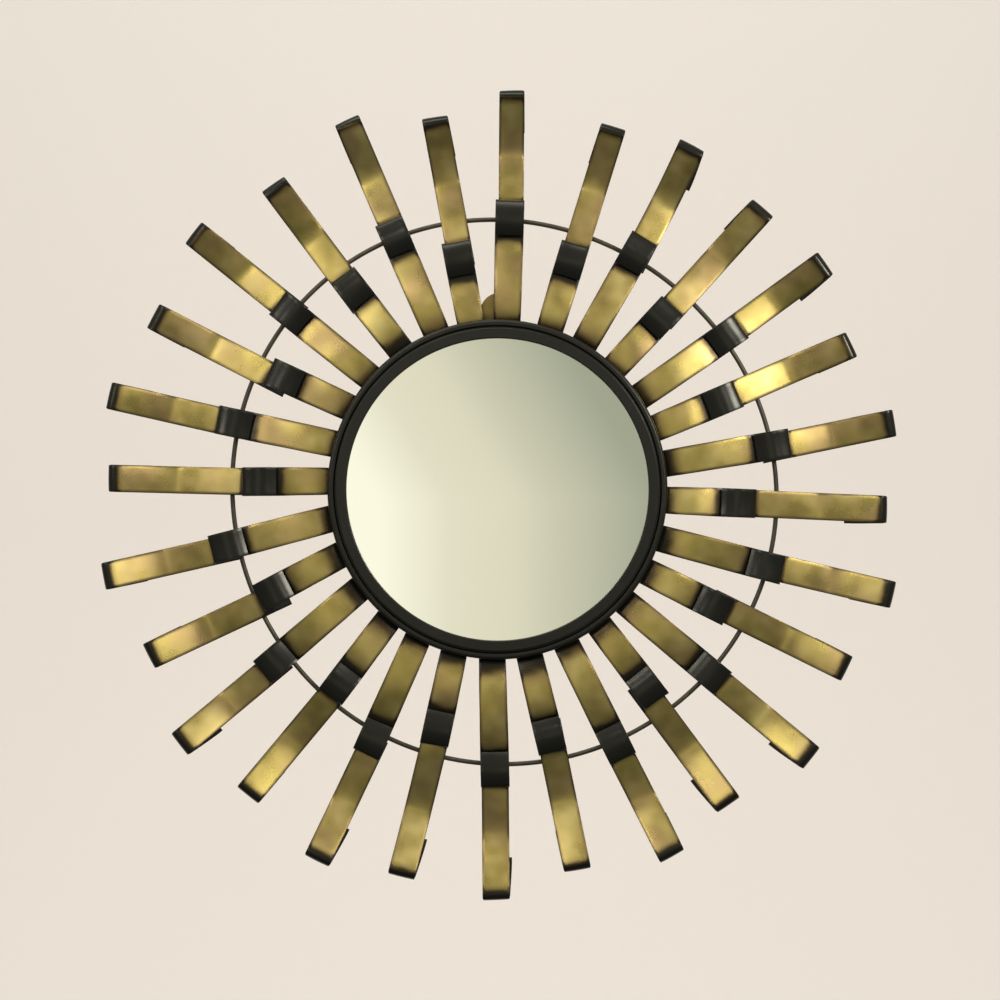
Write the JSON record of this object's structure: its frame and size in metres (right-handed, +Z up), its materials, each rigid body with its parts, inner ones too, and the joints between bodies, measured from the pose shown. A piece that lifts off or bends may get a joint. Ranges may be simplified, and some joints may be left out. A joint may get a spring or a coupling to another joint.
{
  "type": "wall mirror",
  "caption": "Round wall mirror in a dark dish frame, ringed by long and short bent metal rays on a wire hoop, antique gold with dark bands and tips.",
  "frame": {"origin": "centre of the back plate's flat back, on the wall plane", "axes": "+Z up, -Y out of the wall towards the room, +X to the viewer's right"},
  "size_m": [0.7538, 0.034, 0.7656],
  "materials": {
    "antique_gold": "satin antique gold airbrushed over dark bronze, dark at tips, bands and edges",
    "dark_bronze": "satin dark bronze paint, slightly worn along edges",
    "mirror": "polished silvered glass"
  },
  "bodies": {
    "root": {"back_plate": "dark_bronze", "frame_dish": "dark_bronze", "mirror_glass": "mirror", "wire_hoop": "dark_bronze", "ray_01_inner_strip": "antique_gold", "ray_01_outer_strip": "antique_gold", "ray_02_inner_strip": "antique_gold", "ray_02_outer_strip": "antique_gold", "ray_03_inner_strip": "antique_gold", "ray_03_outer_strip": "antique_gold", "ray_04_inner_strip": "antique_gold", "ray_04_outer_strip": "antique_gold", "ray_05_inner_strip": "antique_gold", "ray_05_outer_strip": "antique_gold", "ray_06_inner_strip": "antique_gold", "ray_06_outer_strip": "antique_gold", "ray_07_inner_strip": "antique_gold", "ray_07_outer_strip": "antique_gold", "ray_08_inner_strip": "antique_gold", "ray_08_outer_strip": "antique_gold", "ray_09_inner_strip": "antique_gold", "ray_09_outer_strip": "antique_gold", "ray_10_inner_strip": "antique_gold", "ray_10_outer_strip": "antique_gold", "ray_11_inner_strip": "antique_gold", "ray_11_outer_strip": "antique_gold", "ray_12_inner_strip": "antique_gold", "ray_12_outer_strip": "antique_gold", "ray_13_inner_strip": "antique_gold", "ray_13_outer_strip": "antique_gold", "ray_14_inner_strip": "antique_gold", "ray_14_outer_strip": "antique_gold", "ray_15_inner_strip": "antique_gold", "ray_15_outer_strip": "antique_gold", "ray_16_inner_strip": "antique_gold", "ray_16_outer_strip": "antique_gold", "ray_17_inner_strip": "antique_gold", "ray_17_outer_strip": "antique_gold", "ray_18_inner_strip": "antique_gold", "ray_18_outer_strip": "antique_gold", "ray_19_inner_strip": "antique_gold", "ray_19_outer_strip": "antique_gold", "ray_20_inner_strip": "antique_gold", "ray_20_outer_strip": "antique_gold", "ray_21_inner_strip": "antique_gold", "ray_21_outer_strip": "antique_gold", "ray_22_inner_strip": "antique_gold", "ray_22_outer_strip": "antique_gold", "ray_23_inner_strip": "antique_gold", "ray_23_outer_strip": "antique_gold", "ray_24_inner_strip": "antique_gold", "ray_24_outer_strip": "antique_gold", "ray_25_inner_strip": "antique_gold", "ray_25_outer_strip": "antique_gold", "ray_26_inner_strip": "antique_gold", "ray_26_outer_strip": "antique_gold", "ray_27_inner_strip": "antique_gold", "ray_27_outer_strip": "antique_gold", "ray_28_inner_strip": "antique_gold", "ray_28_outer_strip": "antique_gold"}
  },
  "joints": []
}
